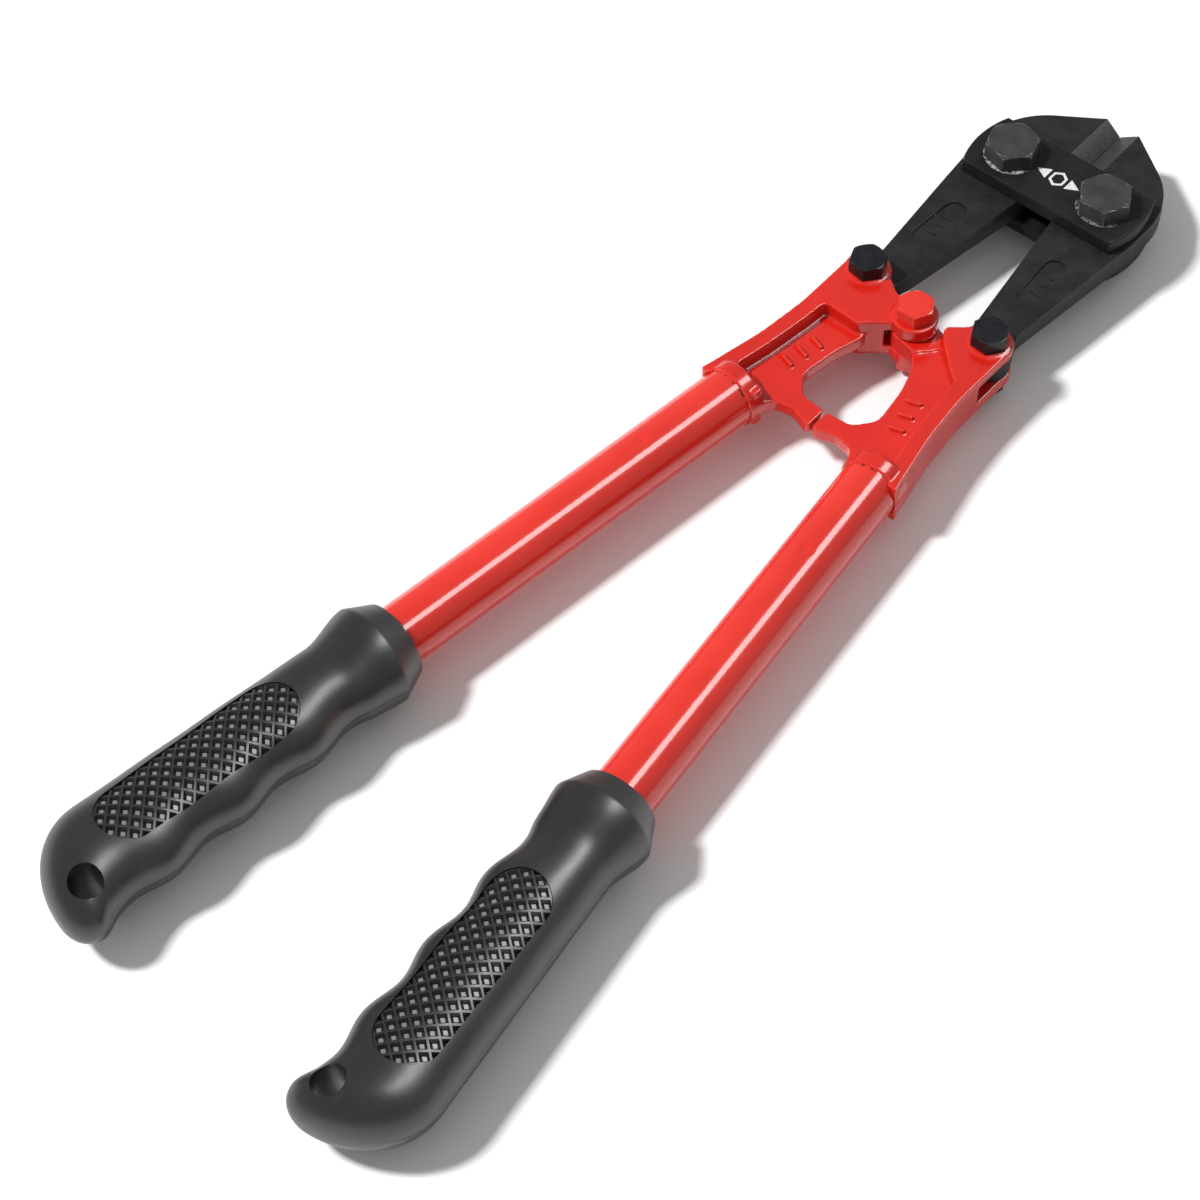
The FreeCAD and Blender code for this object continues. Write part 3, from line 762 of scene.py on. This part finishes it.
def panel_block(z_low, z_high):
    """A flat slab over the panel, in 1.5 mm cells so that it can bend."""
    bm = bmesh.new()
    bmesh.ops.create_grid(bm, x_segments=16, y_segments=42, size=1.0)
    for vert in bm.verts:
        vert.co.x = PANEL_CENTRE_W + vert.co.x * 10.5
        vert.co.y = (PANEL_START_G + PANEL_END_G) / 2 + vert.co.y * 31.0
        vert.co.z = z_low
    made = bmesh.ops.extrude_face_region(bm, geom=bm.faces[:])
    top = [item for item in made["geom"] if isinstance(item, bmesh.types.BMVert)]
    bmesh.ops.translate(bm, vec=(0, 0, z_high - z_low), verts=top)
    bmesh.ops.recalc_face_normals(bm, faces=bm.faces)
    return mesh_object("block", bm)


def bend(made, lift, below):
    """Bends a flat slab to the top of the grip, or to its bottom."""
    bm = bmesh.new()
    bm.from_mesh(made.data)
    for vert in bm.verts:
        vert.co.z += grip_top(vert.co.x, vert.co.y) + lift
    if below:
        for vert in bm.verts:
            vert.co.z = -vert.co.z
        bmesh.ops.reverse_faces(bm, faces=bm.faces)
    bm.to_mesh(made.data)
    bm.free()
    return made


def diamond_pad():
    """Flat pad of diamonds: thin ribs round tapered pits, each with a small flat floor."""
    bm = bmesh.new()
    layer = bm.faces.layers.float.new("pit_floor")
    cells = 30
    bmesh.ops.create_grid(bm, x_segments=cells, y_segments=cells, size=cells / 2)
    bmesh.ops.rotate(bm, matrix=Matrix.Rotation(math.radians(45), 3, "Z"), verts=bm.verts)
    middle_g = (PANEL_START_G + PANEL_END_G) / 2
    for vert in bm.verts:
        vert.co.x = PANEL_CENTRE_W + vert.co.x * DIAMOND_ACROSS / math.sqrt(2)
        vert.co.y = middle_g + vert.co.y * DIAMOND_ALONG / math.sqrt(2)
    half_length = (PANEL_END_G - PANEL_START_G) / 2
    outside = [
        face for face in bm.faces
        if abs(face.calc_center_median().x - PANEL_CENTRE_W) > PANEL_HALF_WIDTH + DIAMOND_ACROSS
        or abs(face.calc_center_median().y - middle_g) > half_length + DIAMOND_ALONG
    ]
    bmesh.ops.delete(bm, geom=outside, context="FACES")
    rim = [edge for edge in bm.edges if edge.is_boundary]
    cell_faces = bm.faces[:]
    made = bmesh.ops.extrude_edge_only(bm, edges=rim)
    low = [item for item in made["geom"] if isinstance(item, bmesh.types.BMVert)]
    bmesh.ops.translate(bm, vec=(0, 0, -PANEL_DEPTH), verts=low)
    edges = [item for item in made["geom"] if isinstance(item, bmesh.types.BMEdge)]
    bmesh.ops.contextual_create(bm, geom=[edge for edge in edges if edge.is_boundary])
    for thickness, depth in PIT_STEPS:
        bmesh.ops.inset_individual(
            bm, faces=cell_faces, thickness=thickness, depth=depth, use_even_offset=True,
        )
    for face in cell_faces:
        face[layer] = 1.0
    bmesh.ops.recalc_face_normals(bm, faces=bm.faces)
    return mesh_object("diamonds", bm)


def grip(side_name, side):
    ridge = math.radians(1.0)
    turns = [0.0, ridge] + [math.radians(5 * i) for i in range(1, 36)] + [math.pi - ridge, math.pi]
    turns = turns + [angle + math.pi for angle in turns[1:]]
    stations = [FLARE_G * i / 8 for i in range(9)] + [FLARE_G + 0.4]
    g = FLARE_G + 1.0
    while g < CLOSE_G:
        stations.append(g)
        g += 1.0
    swing = [math.radians(3.75 * i) for i in range(25)]
    stations += [CLOSE_G + (GRIP_LENGTH - CLOSE_G) * math.sin(angle) for angle in swing]

    def skin(angle, g):
        w, z = grip_point(angle, g)
        if abs(math.sin(angle)) < 1e-6:
            fade = smooth((g - FLARE_G) / 2.0) * smooth((GRIP_LENGTH - 4.0 - g) / 6.0)
            w += math.copysign(PARTING_LINE, math.cos(angle)) * fade
        return w, g, 0.0 if g > GRIP_LENGTH - 1e-6 else z

    bm = skin_grid(turns, stations, skin)
    mouth = [edge for edge in bm.edges if edge.is_boundary]
    lining = (
        (LIP_RADIUS, -LIP_PROUD),
        (SLEEVE_BORE_RADIUS + BORE_CHAMFER, -LIP_PROUD),
        (SLEEVE_BORE_RADIUS, 0.2),
        (SLEEVE_BORE_RADIUS, TUBE_END_S - GRIP_MOUTH_S),
    )
    for radius, g in lining:
        made = bmesh.ops.extrude_edge_only(bm, edges=mouth)
        for vert in [item for item in made["geom"] if isinstance(item, bmesh.types.BMVert)]:
            flat = Vector((vert.co.x, 0.0, vert.co.z)).normalized() * radius
            vert.co = Vector((flat.x, g, flat.z))
        edges = [item for item in made["geom"] if isinstance(item, bmesh.types.BMEdge)]
        mouth = [edge for edge in edges if edge.is_boundary]
    bmesh.ops.contextual_create(bm, geom=mouth)
    bmesh.ops.recalc_face_normals(bm, faces=bm.faces)
    body = mesh_object(side_name + "_grip_sleeve", bm)

    pads = []
    for below in (False, True):
        recess = panel_block(-PANEL_RECESS - PANEL_DEPTH + 0.3, 3.0)
        boolean(recess, panel_outline(PANEL_CLEARANCE), "INTERSECT")
        boolean(body, bend(recess, 0.0, below), "DIFFERENCE")
        pad = boolean(diamond_pad(), panel_outline(0.0), "INTERSECT")
        pad.name = side_name + "_grip_diamonds_" + ("below" if below else "above")
        pads.append(bend(pad, -PANEL_RECESS, below))

    bm = bmesh.new()
    bmesh.ops.create_cone(
        bm, cap_ends=True, segments=64, radius1=HOLE_RADIUS, radius2=HOLE_RADIUS, depth=40.0,
    )
    bmesh.ops.translate(bm, vec=(HOLE_W, HOLE_G, 0), verts=bm.verts)
    boolean(body, mesh_object("hang_hole", bm), "DIFFERENCE")

    matrix = Matrix.Identity(4) if side > 0 else MIRROR
    matrix = matrix @ HANDLE @ Matrix.Translation((0, GRIP_MOUTH_S, 0))
    place(body, matrix, side_name + "_handle", [RUBBER], [side_name + "_grip"], 32)
    for pad in pads:
        place(pad, matrix, side_name + "_handle", [RUBBER], (), 32)


# ------------------------------------------------------------------ tubes
def tube(side_name, side):
    """Drawn tube with its punched dimple, closed over both ends."""
    turns = [math.radians(3.75 * i) for i in range(97)]
    outer = [TUBE_START_S, -1.5, 0.0, 0.6]
    s = 4.0
    while s < TUBE_END_S - 1:
        outer.append(s)
        s += 0.4 if abs(s - DIMPLE_S) < 3.9 else 4.0
    outer.append(TUBE_END_S)
    profile = [(s, TUBE_RADIUS) for s in outer] + [(s, TUBE_BORE_RADIUS) for s in reversed(outer)]
    profile.append(profile[0])

    def wall(angle, row):
        s, radius = profile[row]
        offset = Vector((math.cos(angle) * radius, s - DIMPLE_S)).length
        if radius == TUBE_RADIUS and math.sin(angle) > 0 and offset < DIMPLE_RADIUS:
            radius -= DIMPLE_DEPTH * (0.5 + 0.5 * math.cos(math.pi * offset / DIMPLE_RADIUS))
        return math.cos(angle) * radius, s, math.sin(angle) * radius

    bm = skin_grid(turns, range(len(profile)), wall)
    bmesh.ops.recalc_face_normals(bm, faces=bm.faces)
    layer = bm.faces.layers.float.new("arris")
    for face in bm.faces:
        face[layer] = 1.0 if -0.1 < face.calc_center_median().y < 0.8 else 0.0
    made = mesh_object(side_name + "_painted_tube", bm)
    matrix = (Matrix.Identity(4) if side > 0 else MIRROR) @ HANDLE
    place(made, matrix, side_name + "_handle", [RED_TUBE], [side_name + "_tube"], 32)


# ------------------------------------------------------------------ cast heads
def bar_mark(bm, x, y, z, size, angle):
    """A plain raised bar with round ends."""
    length, width, height = size
    made = bmesh.ops.create_cube(bm, size=1.0)["verts"]
    bmesh.ops.scale(bm, vec=(length, width, height), verts=made)
    for end in (-1, 1):
        disc = bmesh.ops.create_cone(
            bm, cap_ends=True, segments=20, radius1=width / 2, radius2=width / 2, depth=height,
        )["verts"]
        bmesh.ops.translate(bm, vec=(end * length / 2, 0, 0), verts=disc)
        made = made + disc
    bmesh.ops.rotate(bm, matrix=Matrix.Rotation(math.radians(angle), 3, "Z"), verts=made)
    bmesh.ops.translate(bm, vec=(x, y, z), verts=made)


def head(side_name, side):
    """The casting, with the soft fillets that sand casting and paint leave."""
    bm = node_copy(side_name + "_head")
    # the collar is filled behind its lip, round the tube that stands in it
    radius = COLLAR_RADIUS - 0.3
    plug = bmesh.ops.create_cone(
        bm, cap_ends=True, segments=64, radius1=radius, radius2=radius, depth=PLUG_LENGTH,
    )["verts"]
    bmesh.ops.rotate(bm, matrix=Matrix.Rotation(math.radians(90), 3, "X"), verts=plug)
    bmesh.ops.translate(bm, vec=(0, -PLUG_LENGTH / 2, 0), verts=plug)
    matrix = (Matrix.Identity(4) if side > 0 else MIRROR) @ HANDLE
    bmesh.ops.transform(bm, matrix=matrix, verts=plug)
    bmesh.ops.recalc_face_normals(bm, faces=bm.faces)
    for face in (1, -1):
        for index in range(WEB_MARKS):
            x, y = (at + step * index for at, step in zip(WEB_MARK_AT, WEB_MARK_STEP))
            bar_mark(bm, side * x, y, face * WEB_MARK_Z, WEB_MARK_SIZE, side * WEB_MARK_TURN)
    made = mesh_object(side_name + "_cast_head", bm)
    remesh(made, HEAD_VOXEL, HEAD_SMOOTHING)
    mark_edges(made.data, 2)
    place(
        made, Matrix.Identity(4), side_name + "_handle", [RED_CASTING],
        [side_name + "_head"],
    )


# ------------------------------------------------------------------ forgings, bolts and plates
def broken_edges(bm, round_mm, steepest=24):
    """Bevels every sharp arris by round_mm, and marks the new faces so that they can show wear."""
    layer = bm.faces.layers.float.new("arris")
    sharp = [
        edge for edge in bm.edges
        if len(edge.link_faces) == 2 and edge.calc_face_angle(0.0) > math.radians(steepest)
    ]
    made = bmesh.ops.bevel(
        bm, geom=sharp, offset=round_mm, offset_type="OFFSET", segments=2, profile=0.5, affect="EDGES",
        clamp_overlap=True, material=-1,
    )
    for face in made["faces"]:
        face[layer] = 1.0
    bmesh.ops.triangulate(bm, faces=[face for face in bm.faces if len(face.verts) > 4])


def worked(node, name, body, material, round_mm):
    """A CAD node's shape with its arrises broken by round_mm."""
    bm = node_copy(node, flatten=True)
    broken_edges(bm, round_mm)
    made = mesh_object(name, bm)
    place(made, Matrix.Identity(4), body, [material], [node], 14)


def jaw(side_name, side):
    """The forging, with the raised line that trimming leaves round its middle, and ground bevels."""
    bm = node_copy(side_name + "_jaw", flatten=True)
    for height in (-FLASH_HALF, 0.0, FLASH_HALF):
        bmesh.ops.bisect_plane(
            bm, geom=bm.verts[:] + bm.edges[:] + bm.faces[:], dist=0.0001, plane_co=(0, 0, height),
            plane_no=(0, 0, 1),
        )
    bm.normal_update()
    bores = [Vector((side * x, y)) for x, y in (JAW_PIVOT, HANDLE_PIVOT)]
    for vert in bm.verts:
        flat = Vector((vert.co.x, vert.co.y))
        away = min((flat - bore).length for bore in bores)
        if abs(vert.co.z) < 0.01 and away > FLASH_CLEAR and side * flat.x > 1.0:
            vert.co += Vector((vert.normal.x, vert.normal.y, 0.0)) * FLASH_HEIGHT
    broken_edges(bm, 0.28, 30)
    for face in bm.faces:
        middle = face.calc_center_median()
        slanted = abs(face.normal.z) > 0.3 and side * face.normal.x < -0.2
        if slanted and side * middle.x < BEVEL_WIDTH + 0.2 and middle.y > BEVEL_START_Y:
            face.material_index = 1
    made = mesh_object(side_name + "_forged_jaw", bm)
    mesh = made.data
    kept = [polygon.material_index for polygon in mesh.polygons]
    place(
        made, Matrix.Identity(4), side_name + "_jaw", [FORGED, GROUND],
        [side_name + "_jaw"], 14,
    )
    mesh.polygons.foreach_set("material_index", kept)

    # raised bars in the oval of the tail, above and below
    bm = bmesh.new()
    for face in (1, -1):
        for index, length in enumerate(JAW_MARK_LENGTHS):
            x = JAW_MARK_AT[0] - JAW_MARK_STEP[0] * (index - 1)
            y = JAW_MARK_AT[1] + JAW_MARK_STEP[1] * (index - 1)
            bar_mark(
                bm, side * x, y, face * (JAW_OVAL_FLOOR_Z + 0.05), (length, *JAW_MARK_SIZE),
                -side * JAW_MARK_TURN,
            )
    made = remesh(mesh_object(side_name + "_jaw_marks", bm), JAW_MARK_VOXEL, 1)
    place(made, Matrix.Identity(4), side_name + "_jaw", [FORGED], (), 40)


def plate_print():
    """White pictogram on the upper plate: a hexagon between two wedges."""
    bm = bmesh.new()
    bmesh.ops.create_cone(
        bm, cap_ends=True, segments=6, radius1=HEXAGON_RADIUS, radius2=HEXAGON_RADIUS,
        depth=PRINT_HEIGHT,
    )
    ends = [face for face in bm.faces if abs(face.normal.z) > 0.9]
    bmesh.ops.inset_individual(bm, faces=ends, thickness=HEXAGON_LINE, depth=0.0)
    caps = [face for face in bm.faces if abs(face.normal.z) > 0.9 and len(face.verts) == 6]
    bmesh.ops.bridge_loops(bm, edges=list({edge for face in caps for edge in face.edges}))
    bmesh.ops.delete(bm, geom=caps, context="FACES_ONLY")
    for direction in (-1, 1):
        wedge = bmesh.ops.create_cone(
            bm, cap_ends=True, segments=3, radius1=WEDGE_RADIUS, radius2=WEDGE_RADIUS,
            depth=PRINT_HEIGHT,
        )["verts"]
        bmesh.ops.rotate(bm, matrix=Matrix.Rotation(math.radians(-90 * direction), 3, "Z"), verts=wedge)
        bmesh.ops.scale(bm, vec=(1.1, 0.9, 1.0), verts=wedge)
        bmesh.ops.translate(bm, vec=(direction * WEDGE_AT, 0, 0), verts=wedge)
    bmesh.ops.recalc_face_normals(bm, faces=bm.faces)
    made = mesh_object("plate_pictogram", bm)
    matrix = Matrix.Translation((0, PLATE_CENTRE_Y, PLATE_OUTER_Z + PRINT_HEIGHT / 2 - 0.02))
    matrix = matrix @ Matrix.Diagonal((1.0, 1.15, 1.0, 1.0))
    place(made, matrix, "link_plates", [INK], (), 40)


grip("left", -1)
grip("right", 1)
for side_name, side in SIDES:
    tube(side_name, side)
    head(side_name, side)
    jaw(side_name, side)
    for part in ("bolt", "nut"):
        node = side_name + "_jaw_" + part
        worked(node, node + "_forged", "link_plates", STAMPED, 0.12)
        node = side_name + "_handle_" + part
        worked(node, node + "_oxide", side_name + "_handle", OXIDE, 0.12)
for part in ("bolt", "nut"):
    node = "centre_" + part
    worked(node, node + "_painted", "left_handle", RED_TUBE, 0.3)
for node in ("upper_link_plate", "lower_link_plate"):
    worked(node, node + "_stamped", "link_plates", PLATE, 0.15)
plate_print()

for name in ("left_jaw_lock_washer", "right_jaw_lock_washer"):
    mesh = frame["nodes"][name].data
    mesh.materials.clear()
    mesh.materials.append(OXIDE)


# ------------------------------------------------------------------ floor, light, camera
def pale_floor():
    material, tree, here = new_material("pale_floor")
    paper = add(tree, "ShaderNodeTexNoise", values={"Scale": per_metre(400.0)}, links={"Vector": here})
    colour = add(
        tree, "ShaderNodeMix", settings=RGBA,
        values={6: linear("F4F4F4"), 7: linear("F6F6F6")}, links={0: paper},
    ).outputs[2]
    shade(tree, {"Roughness": 0.9}, {"Base Color": colour})
    bm = bmesh.new()
    bmesh.ops.create_grid(bm, x_segments=1, y_segments=1, size=FLOOR_HALF)
    made = mesh_object("floor", bm)
    made.data.materials.append(material)


def soft_box(name, direction, distance, size, power, target):
    """An area light that faces target from direction."""
    light = bpy.data.lights.new(name, "AREA")
    light.shape = "RECTANGLE"
    light.size, light.size_y = size
    light.energy = power
    made = bpy.data.objects.new(name, light)
    bpy.context.scene.collection.objects.link(made)
    towards = Vector(direction).normalized()
    across = Vector((0.0, 1.0, 0.0)).cross(towards).normalized()
    turned = Matrix((across, towards.cross(across), towards)).transposed().to_4x4()
    made.matrix_world = Matrix.Translation(target + towards * distance) @ turned
    return made


def camera():
    """The camera, and the directions to its right and behind it."""
    azimuth, elevation, roll = (math.radians(angle) for angle in CAMERA_TURN)
    back = Vector((
        math.sin(azimuth) * math.cos(elevation),
        -math.cos(azimuth) * math.cos(elevation),
        math.sin(elevation),
    ))
    level = Vector((math.cos(azimuth), math.sin(azimuth), 0.0))
    up = back.cross(level)
    right = level * math.cos(roll) + up * math.sin(roll)
    up = up * math.cos(roll) - level * math.sin(roll)
    aim = CENTRE + Vector(CAMERA_AIM) * MM
    data = bpy.data.cameras.new("camera")
    data.sensor_width = 36.0
    data.lens = 90.0
    data.clip_start, data.clip_end = 0.01, 20.0
    made = bpy.data.objects.new("camera", data)
    bpy.context.scene.collection.objects.link(made)
    turned = Matrix((right, up, back)).transposed().to_4x4()
    made.matrix_world = Matrix.Translation(aim + back * CAMERA_DISTANCE * MM) @ turned
    bpy.context.scene.camera = made
    return right, back


right, back = camera()
pale_floor()
world = bpy.data.worlds.new("studio")
world.use_nodes = True
world.node_tree.nodes["Background"].inputs["Color"].default_value = (1.0, 1.0, 1.0, 1.0)
world.node_tree.nodes["Background"].inputs["Strength"].default_value = 0.4
bpy.context.scene.world = world
bpy.context.scene.view_settings.view_transform = "Standard"

middle = (cad_low + cad_high) / 2
level_back = Vector((-back.x, -back.y, 0.0)).normalized()
level_left = Vector((-right.x, -right.y, 0.0)).normalized()
# the key lights and makes the shadows, and the long box gives the highlights
key = soft_box("key", level_left * 0.68 + Vector((0.0, 0.0, 1.0)), 3.2, (0.4, 0.4), 112.0, middle)
key.visible_glossy = False
long_box = soft_box(
    "long_box", level_back * 0.12 - level_left * 0.57 + Vector((0.0, 0.0, 1.0)), 1.4, (0.4, 1.2),
    15.0, middle,
)
long_box.visible_diffuse = False
